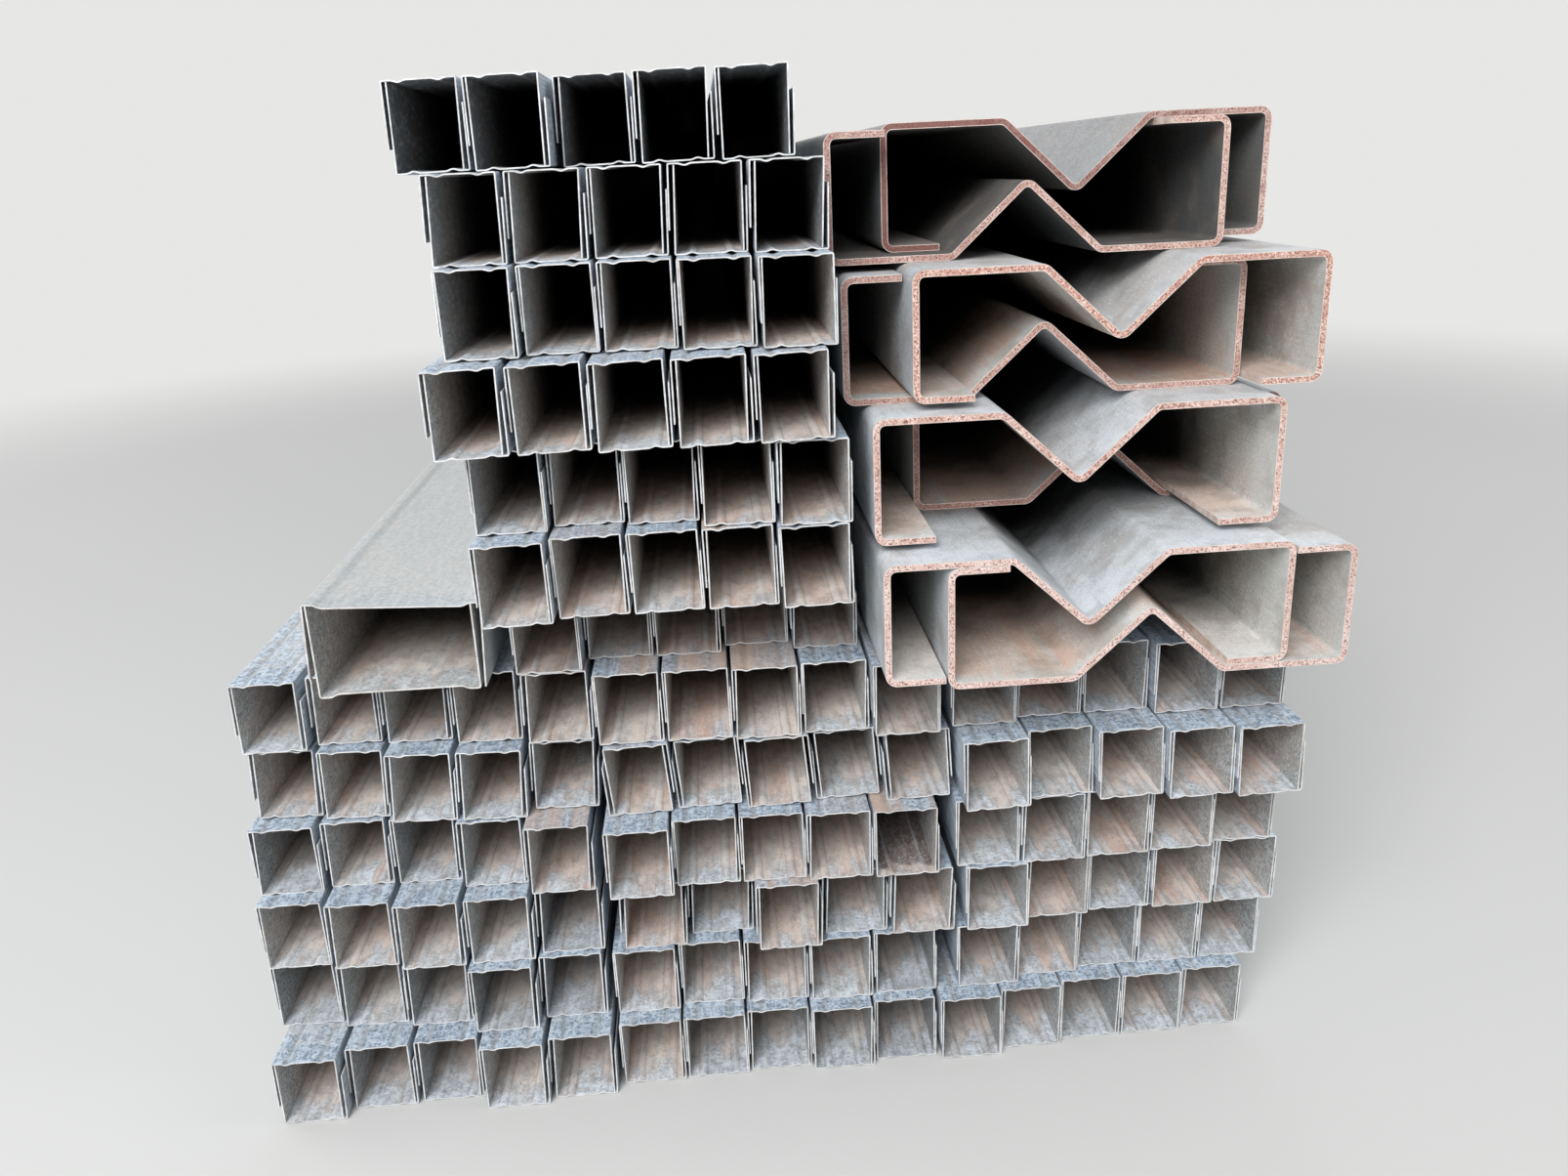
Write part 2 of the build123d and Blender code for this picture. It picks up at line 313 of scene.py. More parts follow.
def dusty_inside(name, cool, pale, dark, washed, film_near, deep_film_and_shade, depth):
    """Inside of the sheet: washed zinc at the mouth, a brown film behind it, painted shade further in."""
    pale_film = (0.754, 0.692, 0.635)
    red_film = (0.625, 0.399, 0.305)
    scaly_film = (0.771, 0.702, 0.645)
    burnt_film = (0.075, 0.035, 0.027)
    grime_brown = (0.28, 0.25, 0.235)
    rim_brown = (0.22, 0.155, 0.12)
    foot_brown = (0.22, 0.17, 0.14)
    fleck_zinc = (0.834, 0.856, 0.87)
    speck_brown = (0.171, 0.143, 0.129)
    low_film_shade_black = (0.03, 0.042, 0.06)
    scale_zinc = (0.72, 0.76, 0.79)
    far_in_shade_black = (0.016, 0.015, 0.014)
    material, tree, shader = new_material(name)
    plain = stretched_place(tree)
    along = stretched_place(tree, (1, 0.14, 1))
    whole = stretched_place(tree, (1, 0.02, 1))
    upward = facing_up(tree, 0.2, 0.8)
    # The film mark sets the film of dust, and a low film also sets painted shade on the walls.
    film_and_shade_mark = read_mark(tree, "film")
    groove = read_mark(tree, "groove")
    scales = mottle(tree, plain, 480, 6, 0.38, 0.60)
    cloud = mottle(tree, plain, 85, 6, 0.40, 0.60)
    streak = mottle(tree, along, 58, 5, 0.0, 1.0)

    # Scaly zinc with dark spots, washed pale where it faces up.
    colour = blend(tree, scales, cool, pale)
    colour = blend(tree, times(tree, upward, spread(tree, cloud, 0, 1, 0.45, 1.0)), colour, washed)
    spots = mottle(tree, plain, 330, 6, 0.50, 0.64)
    colour = blend(tree, times(tree, spots, 0.5), colour, dark)

    # The film starts behind the mouth and lies thicker on a floor than on a wall.
    reach = combine(tree, "ADD", read_mark(tree, "reach"), times(tree, cloud, 0.016 * depth))
    behind = spread(tree, reach, 0.010 * depth, 0.065 * depth, -0.10, 0.20)
    soiled = combine(tree, "ADD", streak, behind)
    soiled = combine(tree, "ADD", soiled, spread(tree, film_and_shade_mark, 0, 1, -0.15, 0.14))
    film = times(tree, spread(tree, soiled, 0.36, 0.64), spread(tree, upward, 0, 1, 0.30, 0.94))

    # The film's colour: pale near the mouth, browner further in and darker there as painted shade, red in
    # streaks, and burnt in a few boxes.
    tint = mottle(tree, whole, 22, 3, 0.40, 0.60)
    red_streak = mottle(tree, along, 42, 7, 0.46, 0.60)
    brown = blend(tree, tint, film_near, pale_film)
    red = times(tree, red_streak, spread(tree, film_and_shade_mark, 0.2, 1.0, 0.25, 0.9))
    brown = blend(tree, red, brown, red_film)
    brown = blend(tree, times(tree, scales, 0.25), brown, scaly_film)
    # Further in the film takes its deep colour: a browner film, and darker as painted shade.
    brown = blend(tree, spread(tree, reach, 0.06 * depth, 0.19 * depth), brown, deep_film_and_shade)
    burnt = times(tree, spread(tree, film_and_shade_mark, 1.0, 1.55), spread(tree, reach, 0.008, 0.030, 0.10, 0.95))
    brown = blend(tree, burnt, brown, burnt_film)
    colour = blend(tree, film, colour, brown)

    # Grime over both, a dark rim round the film, dirt at the grooves' feet and a wash on their tops.
    grime = mottle(tree, stretched_place(tree, (1, 0.5, 1)), 125, 7, 0.46, 0.62)
    colour = blend(tree, times(tree, grime, 0.42), colour, grime_brown)
    rim = times(tree, spread(tree, film, 0.15, 0.45), spread(tree, film, 0.45, 0.80, 1, 0),
                spread(tree, cloud, 0.2, 0.9, 0, 0.45))
    colour = blend(tree, rim, colour, rim_brown)
    foot = times(tree, spread(tree, groove, 0.0, 0.15), spread(tree, groove, 0.15, 0.5, 1, 0),
                 spread(tree, streak, 0.35, 0.6, 0.08, 0.42))
    colour = blend(tree, foot, colour, foot_brown)
    colour = blend(tree, times(tree, spread(tree, groove, 0.6, 0.95), 0.22), colour, washed)

    # Fine scratches, pale flecks and brown specks.
    scratch = mottle(tree, along, 420, 4, 0.50, 0.66)
    colour = blend(tree, times(tree, scratch, 0.14), colour, washed)
    fleck = mottle(tree, plain, 560, 3, 0.60, 0.66)
    colour = blend(tree, times(tree, fleck, 0.6), colour, fleck_zinc)
    speck = mottle(tree, plain, 380, 4, 0.60, 0.66)
    colour = blend(tree, times(tree, speck, 0.4), colour, speck_brown)

    # Boxes with little film get walls painted near black: dark zinc, darkened further as painted shade. Pale
    # scales lie over all, and far in it is painted near black as shade.
    low_film_shade = times(tree, spread(tree, film_and_shade_mark, 0.0, 0.5, 0.72, 0), spread(tree, upward, 0, 1, 1.0, 0.5))
    colour = blend(tree, low_film_shade, colour, low_film_shade_black)
    pale_scales = mottle(tree, stretched_place(tree, (1, 0.35, 1)), 250, 5, 0.53, 0.62)
    pale_scales = times(tree, pale_scales, spread(tree, upward, 0, 1, 0.30, 0.10))
    colour = blend(tree, pale_scales, colour, scale_zinc)
    far_in_shade = spread(tree, reach, 0.08 * depth, 0.23 * depth, 0, 0.96)
    colour = blend(tree, far_in_shade, colour, far_in_shade_black)

    tree.links.new(colour, shader.inputs["Base Color"])
    shader.inputs["Metallic"].default_value = 0.1
    tree.links.new(spread(tree, scales, 0, 1, 0.45, 0.68), shader.inputs["Roughness"])
    bump(tree, shader, scales, 0.0002, 0.3)
    return material


def cut_edge(name, bright, dull):
    """The bare cut of the sheet, bright where it isn't dusty."""
    material, tree, shader = new_material(name)
    wear = mottle(tree, stretched_place(tree), 90, 5, 0.42, 0.64)
    wear = combine(tree, "ADD", wear, times(tree, read_mark(tree, "film"), 0.3))
    tree.links.new(blend(tree, wear, bright, dull), shader.inputs["Base Color"])
    shader.inputs["Metallic"].default_value = 0.1
    shader.inputs["Roughness"].default_value = 0.5
    return material


stud_outside = weathered_zinc(
    "stud_outside", cool=(0.17, 0.215, 0.28), pale=(0.42, 0.505, 0.61), dark=(0.125, 0.15, 0.19),
    dusty=(0.61, 0.70, 0.80))
stud_inside = dusty_inside(
    "stud_inside", cool=(0.15, 0.16, 0.16), pale=(0.67, 0.70, 0.705), dark=(0.16, 0.18, 0.205),
    washed=(0.78, 0.845, 0.92), film_near=(0.74, 0.60, 0.52), deep_film_and_shade=(0.55, 0.395, 0.315), depth=1.0)
stud_cut = cut_edge("stud_cut", bright=(0.70, 0.715, 0.725), dull=(0.49, 0.485, 0.475))


def light_stud(long_leg, short_leg, long_splay, short_splay):
    """One light stud with its web down, its long leg at the left and its short leg at the right."""
    line = [(0, long_leg), (0, 0)]
    grooves = []
    for middle in (stud_web / 2 - groove_offset, stud_web / 2 + groove_offset):
        grooves += [(middle - groove_width / 2, 0), (middle, groove_depth), (middle + groove_width / 2, 0)]
    line += grooves + [(stud_web, 0), (stud_web, short_leg)]
    piece = fold_strip("stud_pattern", line)
    round_folds(piece, [(0, 0), (stud_web, 0)], stud_bend, 3)
    round_folds(piece, grooves, groove_bend, 2)
    cut_rings()
    lean_leg(piece, 0, stud_bend, long_splay)
    lean_leg(piece, stud_web, stud_bend, short_splay)
    thicken(piece, stud_sheet, (stud_inside, stud_outside, stud_cut))
    in_groove = []
    for vert in piece.data.vertices:
        from_middle = abs(abs(vert.co.x - stud_web / 2) - groove_offset)
        in_groove.append(max(1 - 2 * from_middle / groove_width, 0) if vert.co.z < web_zone else 0.0)
    mark_points(piece, "groove", in_groove)
    return piece


def stud_patterns(long_leg, short_leg):
    """Studs of one size: three from straight to a little splayed, then three that are well splayed."""
    return [light_stud(long_leg, short_leg, *splays) for splays in stud_splays]


# Lower bundles: three bundles of six rows stand side by side on the floor. A row is five boxes of light
# studs, each box two galvanised steel studs closed over each other. Nothing is tied: every row
# lies loose on the one below, and its cut ends stand back unevenly from the front.
front = -1574.5 * mm
lower_long_leg = 58 * mm
lower_short_leg = 43 * mm
left_line = -423 * mm
middle_line = -140 * mm
right_line = 129 * mm
open_gap = 2.9

# Each line gives, in millimetres and degrees, a row's node and shift, the gap between its boxes, how far
# each box stands back and the row's lean, then whether its boxes are turned end for end, and each
# box's film of dust. A film near 0 paints the walls near black, dark zinc with painted shade; at 1 brown,
# above 1 burnt brown.
left_rows = [
    ("left_row_1", 6, 3.0, (27, 38, 40, 25, 31), 0, False, (0.5, 0.3, 0.3, 0.5, 0.4)),
    ("left_row_2", 0, 3.4, (74, 67, 61, 46, 58), 0, False, (0.3, 0.4, 0.3, 0.2, 0.2)),
    ("left_row_3", 1, 3.8, (70, 63, 55, 56, 63), 0, False, (0.6, 0.7, 0.6, 0.4, 0.2)),
    ("left_row_4", 0, 3.6, (86, 91, 89, 76, 58), 0, False, (0.3, 0.5, 0.3, 0.4, 0.9)),
    ("left_row_5", 4, 4.2, (104, 95, 81, 77, 87), -1.6, False, (0.7, 0.7, 0.5, 0.4, 0.4)),
    ("left_row_6", 2.5, 5.0, (100, 108, 103, 94, 84), 0, False, (0.5, 0.7, 0.6, 0.9, 1.0)),
]
middle_rows = [
    ("middle_row_1", 1, 1.0, (41, 42, 45, 39, 45), 0, False, (0.7, 0.3, 0.3, 0.3, 0.2)),
    ("middle_row_2", 0, 1.8, (56, 61, 57, 53, 55), 0, False, (0.7, 0.4, 0.5, 0.4, 0.2)),
    ("middle_row_3", 10, 3.0, (60, 74, 44, 59, 52), 0, False, (1.0, 0.4, 0.9, 0.4, 0.8)),
    ("middle_row_4", 4, 1.1, (41, 54, 53, 48, 45), 0, False, (0.6, 0.5, 0.6, 0.8, 1.55)),
    ("middle_row_5", 8, 3.3, (68, 73, 66, 72, 61), 1.6, True, (0.8, 0.5, 0.9, 0.4, 0.5)),
    ("middle_row_6", 4.5, 1.7, (72, 71, 66, 69, 54), 0, False, (1.0, 1.0, 0.95, 0.6, 0.8)),
]
right_rows = [
    ("right_row_1", 0, 0.6, (39, 46, 52, 52, 55), 0, False, (0.3, 0.4, 0.3, 0.4, 0.4)),
    ("right_row_2", 17, 0.6, (55, 64, 69, 68, 69), 0, False, (0.3, 0.7, 0.3, 0.5, 0.4)),
    ("right_row_3", 23, 0.9, (49, 60, 64, 61, 62), 0, False, (0.4, 0.8, 0.4, 0.9, 0.5)),
    ("right_row_4", 15, 1.2, (52, 50, 52, 54, 61), 0, False, (0.5, 0.4, 0.9, 0.7, 0.7)),
    ("right_row_5", 19, 1.3, (34, 48, 38, 31, 27), 1.6, False, (0.6, 0.5, 0.7, 0.6, 0.7)),
    ("right_row_6", 13, 1.5, (62, 70, 70, 60, 61), 0, False, (0.7, 0.8, 0.6, 0.5, 0.6)),
]


def box_height(long_leg):
    """Height of a box of two studs."""
    return long_leg + seat_gap + stud_sheet


def pick_pattern(patterns, gap, i, k, line, middle_setback):
    """Takes the patterns in turn, well splayed where boxes stand apart, straight at the stack's left."""
    if i == 0 and k == 1 and line < left_line + 2 * mm:
        return patterns[0]
    splayed = 3 if gap > open_gap else 0
    return patterns[splayed + (i + 2 * k + middle_setback) % 3]


def lay_row(node, patterns, long_leg, line, level, gap, setbacks, lean, mirrored, film):
    """Lays one row of boxes from copies of the studs and joins them into one mesh."""
    lower_place = Matrix.Translation((stud_sheet + side_gap, 0, 0))
    upper_place = Matrix.Translation((stud_web, 0, box_height(long_leg))) @ Matrix.Rotation(math.pi, 4, "Y")
    turned = Matrix.Identity(4)
    if mirrored:
        turned = Matrix.Translation((box_width, stock_length, 0)) @ Matrix.Rotation(math.pi, 4, "Z")
    lean_angle = math.radians(lean)
    raised_left = box_width * math.sin(max(-lean_angle, 0))
    studs = []
    for i, setback in enumerate(setbacks):
        left = line + i * (box_width + gap * mm)
        box_place = Matrix.Translation((left, front + setback * mm, level + raised_left))
        box_place = box_place @ Matrix.Rotation(-lean_angle, 4, "Y")
        for k, stud_place in enumerate((lower_place, upper_place)):
            pattern = pick_pattern(patterns, gap, i, k, line, int(setbacks[2]))
            stud = pattern.copy()
            stud.data = pattern.data.copy()
            stud.data.transform(box_place @ turned @ stud_place)
            mark_points(stud, "film", [film[i]] * len(stud.data.vertices))
            bpy.context.scene.collection.objects.link(stud)
            studs.append(stud)
    bpy.ops.object.select_all(action="DESELECT")
    for stud in studs:
        stud.select_set(True)
    bpy.context.view_layer.objects.active = studs[0]
    bpy.ops.object.join()
    row = studs[0]
    row.name = node + "_studs"
    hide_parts(node)
    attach(row, "root")
    return row


def lay_rows(rows, line, level, patterns, long_leg):
    """Lays rows from the lowest up and gives the level on top of them."""
    for node, shift, gap, setbacks, lean, mirrored, film in rows:
        row_line = line + shift * mm
        row = lay_row(node, patterns, long_leg, row_line, level, gap, setbacks, lean, mirrored, film)
        angle = math.radians(abs(lean))
        level += box_height(long_leg) * math.cos(angle) + box_width * math.sin(angle) + seat_gap
    return level


lower_studs = stud_patterns(lower_long_leg, lower_short_leg)
left_top = lay_rows(left_rows, left_line, 0.0, lower_studs, lower_long_leg)
middle_top = lay_rows(middle_rows, middle_line, 0.0, lower_studs, lower_long_leg)
right_top = lay_rows(right_rows, right_line, 0.0, lower_studs, lower_long_leg)
for pattern in lower_studs:
    bpy.data.objects.remove(pattern)


# Upper block: seven rows of slightly deeper studs, folded from the same 1 mm galvanised sheet. They lie
# loose on the left and middle bundles; the rows near the top have little film, which paints their walls dark
# as shade.
upper_long_leg = 59.5 * mm
upper_short_leg = 44 * mm
upper_line = -237 * mm
upper_rows = [
    ("upper_row_1", 42, 2.0, (83, 106, 103, 116, 100), 0, False, (0.9, 1.1, 1.1, 1.0, 1.0)),
    ("upper_row_2", 33, 2.0, (24, 35, 35, 35, 27), 1.0, False, (0.7, 0.8, 0.7, 1.0, 0.8)),
    ("upper_row_3", 32.5, 2.2, (49, 62, 55, 38, 27), 0, False, (0.4, 0.8, 0.8, 0.9, 0.7)),
    ("upper_row_4", 16.5, 3.4, (22, 27, 21, 21, 21), 1.6, False, (0.5, 0.6, 0.5, 0.5, 0.8)),
    ("upper_row_5", 26, 2.4, (53, 62, 60, 48, 35), 0, False, (0.3, 0.4, 0.5, 0.6, 0.7)),
    ("upper_row_6", 22, 3.0, (74, 78, 83, 77, 63), 0, False, (0.3, 0.4, 0.3, 0.3, 0.2)),
    ("upper_row_7", 0, 4.1, (102, 91, 126, 106, 104), 1.2, False, (0.1, 0.1, 0.1, 0.1, 0.1)),
]
upper_studs = stud_patterns(upper_long_leg, upper_short_leg)
upper_base = max(left_top, middle_top)
lay_rows(upper_rows, upper_line, upper_base, upper_studs, upper_long_leg)
for pattern in upper_studs:
    bpy.data.objects.remove(pattern)


# Wide pair: two channels folded from 1.2 mm galvanised sheet lie on the left bundle, beside the upper
# block. The lower one lies on its web, whose middle is raised between two feet. The upper one
# is laid over its legs and slopes from the higher leg to the other.
wide_sheet = 1.2 * mm
wide_bend = 2.2 * mm
wide_foot = 9 * mm
wide_ramp = 5 * mm
wide_rise = 2.5 * mm
ramp_bend = 1.5 * mm
wide_lower_web = 121 * mm
wide_high_leg = 74 * mm
wide_right_leg = 68 * mm
wide_short_leg = 60 * mm
wide_slip = 0.8 * mm
wide_play = 3.2 * mm
wide_gap = 3 * mm
wide_setback = 62 * mm
wide_splays = (0.5, 0.4)
wide_film = 0.45
block_shift = 33 * mm
wide_slope = math.atan2(wide_high_leg - wide_right_leg, wide_lower_web - wide_sheet)
wide_span = wide_lower_web * math.cos(wide_slope) + wide_high_leg * math.sin(wide_slope)
wide_upper_web = wide_span + 2 * wide_sheet + wide_slip + wide_play

wide_outside = weathered_zinc(
    "wide_outside", cool=(0.393, 0.417, 0.429), pale=(0.476, 0.498, 0.51), dark=(0.318, 0.324, 0.324),
    dusty=(0.553, 0.574, 0.585))
wide_inside = dusty_inside(
    "wide_inside", cool=(0.171, 0.178, 0.178), pale=(0.605, 0.621, 0.615), dark=(0.08, 0.08, 0.08),
    washed=(0.72, 0.754, 0.787), film_near=(0.521, 0.435, 0.368), deep_film_and_shade=(0.266, 0.198, 0.157), depth=1.2)
wide_cut = cut_edge("wide_cut", bright=(0.68, 0.675, 0.66), dull=(0.47, 0.45, 0.42))


def wide_channel(name, web, left_leg, right_leg):
    """One wide channel with its web down."""
    ramp_top = wide_foot + wide_ramp
    line = [(0, left_leg), (0, 0), (wide_foot, 0), (ramp_top, wide_rise)]
    line += [(web - ramp_top, wide_rise), (web - wide_foot, 0), (web, 0), (web, right_leg)]
    piece = fold_strip(name, line)
    round_folds(piece, [(0, 0), (web, 0)], wide_bend, 4)
    round_folds(piece, line[2:6], ramp_bend, 2)
    cut_rings()
    lean_leg(piece, 0, wide_bend, wide_splays[0])
    lean_leg(piece, web, wide_bend, wide_splays[1])
    thicken(piece, wide_sheet, (wide_inside, wide_outside, wide_cut))
    return piece


wide_left = upper_line + block_shift - wide_gap - wide_upper_web
wide_place = Matrix.Translation((wide_left, front + wide_setback, left_top))
lower_channel = wide_channel("wide_channel_lower_piece", wide_lower_web, wide_high_leg, wide_right_leg)
lower_channel.data.transform(wide_place)
upper_channel = wide_channel("wide_channel_upper_piece", wide_upper_web, wide_right_leg, wide_short_leg)
wide_along = (math.cos(wide_slope), -math.sin(wide_slope))
wide_square = (math.sin(wide_slope), math.cos(wide_slope))
wide_lift = wide_square[0] * wide_sheet + wide_square[1] * wide_high_leg + seat_gap + wide_sheet
wide_shift = wide_along[1] * wide_high_leg - wide_sheet - wide_slip
wide_tilt = Matrix.Translation((wide_along[0] * wide_shift + wide_square[0] * wide_lift, 0,
                                wide_along[1] * wide_shift + wide_square[1] * wide_lift))
wide_tilt = wide_tilt @ Matrix.Rotation(wide_slope, 4, "Y")
wide_turned = Matrix.Translation((wide_upper_web, 0, 0)) @ Matrix.Rotation(math.pi, 4, "Y")
upper_channel.data.transform(wide_place @ wide_tilt @ wide_turned)
for channel, node in ((lower_channel, "wide_channel_lower"), (upper_channel, "wide_channel_upper")):
    mark_points(channel, "film", [wide_film] * len(channel.data.vertices))
    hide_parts(node)
    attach(channel, "root")


# Heavy sections: eight sections of 4.8 mm galvanised sheet, each with a deep V folded into its web, two
# flanges and two turned-in lips. They are nested in pairs, loose: a cradle with its web down, and a
# cover turned over on it. The sawn ends have rusted, with a thin line of zinc left along both faces.
heavy_sheet = 4.8 * mm
heavy_flange = 92 * mm
heavy_low_flange = 80 * mm
heavy_lip = 44 * mm
heavy_vee_width = 108 * mm
heavy_vee_depth = 50 * mm
heavy_bend = 4 * mm
lip_gap = 1.5 * mm
vee_play = 4 * mm
zinc_line = 0.45 * mm
rust_slot = 3
heavy_flat = 2 * heavy_lip + lip_gap + vee_play
heavy_web = 2 * heavy_flat + heavy_vee_width
heavy_line = 63 * mm
low_piece = "heavy_layer_2_cradle"
top_piece = "heavy_layer_4_cover"
wall_share = 0.01


def heavy_face(name, cool, pale, dark, dusty, film, dust_and_light_share, film_share):
    """Face of the thick sheet: olive-grey zinc with drawn streaks, dust on top and a rust wash."""
    fleck_zinc = (0.863, 0.863, 0.842)
    shade_grey = (0.045, 0.05, 0.052)
    stain_brown = (0.27, 0.22, 0.18)
    under_cover_black = (0.014, 0.013, 0.012)
    material, tree, shader = new_material(name)
    plain = stretched_place(tree)
    along = stretched_place(tree, (1, 0.05, 1))
    upward = facing_up(tree, 0.25, 0.9)
    reach = read_mark(tree, "reach")
    cloud = mottle(tree, plain, 15, 6, 0.36, 0.62)
    streak = mottle(tree, along, 170, 6, 0.38, 0.62)
    grain = mottle(tree, plain, 520, 6, 0.40, 0.62)
    patch = mottle(tree, plain, 60, 7, 0.37, 0.60)
    colour = blend(tree, cloud, cool, pale)
    colour = blend(tree, times(tree, streak, 0.35), colour, pale)
    colour = blend(tree, times(tree, grain, 0.55), colour, dark)

    # Dust on what faces up, and painted light near the mouth: all faces there are made paler, as if lit.
    mouth = spread(tree, combine(tree, "ADD", reach, times(tree, patch, 0.03)), 0.02, 0.10, 1, 0)
    dust_and_mouth_light = times(tree, upward, spread(tree, patch, 0, 1, 0.35, 0.85), spread(tree, grain, 0, 1, 1.0, 0.75))
    dust_and_mouth_light = combine(tree, "ADD", dust_and_mouth_light, times(tree, mouth, spread(tree, upward, 0, 1, 0.6, 0.35)))
    colour = blend(tree, times(tree, dust_and_mouth_light, dust_and_light_share), colour, dusty)

    # A wash of rust that starts behind the mouth and runs along the section.
    behind = combine(tree, "ADD", reach, times(tree, cloud, 0.05))
    wash = times(tree, spread(tree, behind, 0.015, 0.06), mottle(tree, along, 34, 7, 0.28, 0.54),
                 spread(tree, upward, 0, 1, 0.25, 1.0), spread(tree, grain, 0, 1, 0.7, 1.0),
                 read_mark(tree, "wash"), film_share)
    colour = blend(tree, wash, colour, film)

    # Pale flecks and scratches, the section's painted shade, stains and drawn lines, and painted shade
    # deeper in under a cover.
    fleck = mottle(tree, plain, 400, 3, 0.61, 0.66)
    colour = blend(tree, times(tree, fleck, 0.75), colour, fleck_zinc)
    scratch = mottle(tree, along, 560, 3, 0.58, 0.67)
    colour = blend(tree, times(tree, scratch, 0.35), colour, dusty)
    colour = blend(tree, times(tree, read_mark(tree, "shade"), 0.9), colour, shade_grey)
    stain = times(tree, mottle(tree, plain, 26, 7, 0.50, 0.62), spread(tree, grain, 0, 1, 1.0, 0.6))
    colour = blend(tree, times(tree, stain, 0.45), colour, stain_brown)
    drawn_line = mottle(tree, along, 300, 3, 0.56, 0.66)
    colour = blend(tree, times(tree, drawn_line, 0.12), colour, dark)
    # Painted shade: the faces of covered sections go near black further from the mouth.
    shade_under_cover = times(tree, read_mark(tree, "shade_under_cover"), spread(tree, behind, 0.09, 0.25, 0, 0.96))
    colour = blend(tree, shade_under_cover, colour, under_cover_black)

    tree.links.new(colour, shader.inputs["Base Color"])
    shader.inputs["Metallic"].default_value = 0.1
    tree.links.new(spread(tree, grain, 0, 1, 0.48, 0.68), shader.inputs["Roughness"])
    bump(tree, shader, streak, 0.0002, 0.25)
    return material


def rusty_cut(name, salmon, pale, chalky, maroon):
    """Sawn end of the thick sheet: grainy salmon rust, chalky or burnt dark on some sections."""
    material, tree, shader = new_material(name)
    plain = stretched_place(tree)
    grain = mottle(tree, plain, 820, 4, 0.44, 0.56)
    patch = mottle(tree, plain, 60, 5, 0.40, 0.60)
    pit = mottle(tree, plain, 660, 4, 0.52, 0.60)
    colour = blend(tree, read_mark(tree, "chalk"), salmon, chalky)
    colour = blend(tree, times(tree, grain, 0.75), colour, pale)
    colour = blend(tree, times(tree, patch, 0.35), colour, salmon)
    colour = blend(tree, times(tree, pit, 0.85), colour, maroon)
    burn = combine(tree, "ADD", read_mark(tree, "burn"), times(tree, patch, 0.15))
    colour = blend(tree, spread(tree, burn, 0.12, 1.1, 0.0, 0.9), colour, maroon)
    tree.links.new(colour, shader.inputs["Base Color"])
    shader.inputs["Roughness"].default_value = 0.85
    bump(tree, shader, grain, 0.0004, 0.6)
    return material


heavy_inside = heavy_face(
    "heavy_inside", cool=(0.498, 0.51, 0.476), pale=(0.72, 0.728, 0.697), dark=(0.185, 0.185, 0.17),
    dusty=(0.84, 0.86, 0.855), film=(0.73, 0.475, 0.36), dust_and_light_share=0.75, film_share=1.0)
heavy_outside = heavy_face(
    "heavy_outside", cool=(0.36, 0.40, 0.425), pale=(0.58, 0.62, 0.65), dark=(0.15, 0.165, 0.175),
    dusty=(0.72, 0.763, 0.815), film=(0.521, 0.429, 0.356), dust_and_light_share=0.92, film_share=0.45)
heavy_rust = rusty_cut(
    "heavy_rust", salmon=(0.476, 0.232, 0.171), pale=(0.849, 0.711, 0.645), chalky=(0.655, 0.521, 0.493),
    maroon=(0.164, 0.052, 0.043))
heavy_line_zinc = cut_edge("heavy_line_zinc", bright=(0.70, 0.60, 0.545), dull=(0.50, 0.38, 0.33))


def heavy_section(flange):
    """One heavy section with its web down and its V standing up inside it."""
    vee_left = heavy_flat
    vee_right = heavy_web - heavy_flat
    line = [(heavy_lip, flange), (0, flange), (0, 0), (vee_left, 0)]
    line += [(heavy_web / 2, heavy_vee_depth), (vee_right, 0), (heavy_web, 0)]
    line += [(heavy_web, flange), (heavy_web - heavy_lip, flange)]
    piece = fold_strip("heavy_pattern", line)
    outer_bend = heavy_bend + heavy_sheet
    slope = math.atan2(heavy_vee_depth, heavy_vee_width / 2)
    square_corners = [line[1], line[2], line[6], line[7]]
    round_folds(piece, square_corners, outer_bend, 6)
    round_folds(piece, [line[3], line[5]], outer_bend * math.tan(slope / 2), 4)
    round_folds(piece, [line[4]], heavy_bend * math.tan(slope), 5)
    cut_rings()
    thicken(piece, heavy_sheet, (heavy_inside, heavy_outside, heavy_line_zinc, heavy_rust))
    bpy.ops.object.mode_set(mode="EDIT")
    choose(piece, "FACE", lambda place, face: abs(face.normal.y) > 0.9)
    bpy.ops.mesh.inset(thickness=zinc_line, depth=0)
    piece.active_material_index = rust_slot
    bpy.ops.object.material_slot_assign()
    bpy.ops.object.mode_set(mode="OBJECT")
    return piece


# Each layer gives its shift and its cover's side, then for its cradle and its cover how far it stands back,
# how burnt its sawn end is at the left and at the right, how chalky that end is, how much painted shade
# its faces get, and how much rust wash they hold.
heavy_layers = [
    ("heavy_layer_1", 19.5, "left",
     ("_cradle", 0, (0.1, 0.1), 0.9, 0.08, 0.9), ("_cover", 0, (0.05, 0.1), 0.8, 0.0, 0.3)),
    ("heavy_layer_2", 18.0, "left",
     ("_cradle", 135, (0.5, 0.6), 0.1, 0.22, 1.0), ("_cover", 30, (0.15, 0.1), 0.5, 0.0, 0.7)),
    ("heavy_layer_3", 4.0, "right",
     ("_cradle", 82, (0.45, 0.3), 0.3, 0.25, 1.3), ("_cover", 47, (0.05, 0.2), 0.0, 0.15, 1.0)),
    ("heavy_layer_4", -2.0, "right",
     ("_cradle", 114, (0.5, 0.2), 0.4, 1.0, 0.6), ("_cover", 149, (1.1, 0.35), 0.55, 0.82, 0.6)),
]
heavy_pattern = heavy_section(heavy_flange)
heavy_low_pattern = heavy_section(heavy_low_flange)
heavy_turned = Matrix.Translation((heavy_web, 0, heavy_flange)) @ Matrix.Rotation(math.pi, 4, "Y")
heavy_level = max(middle_top, right_top)
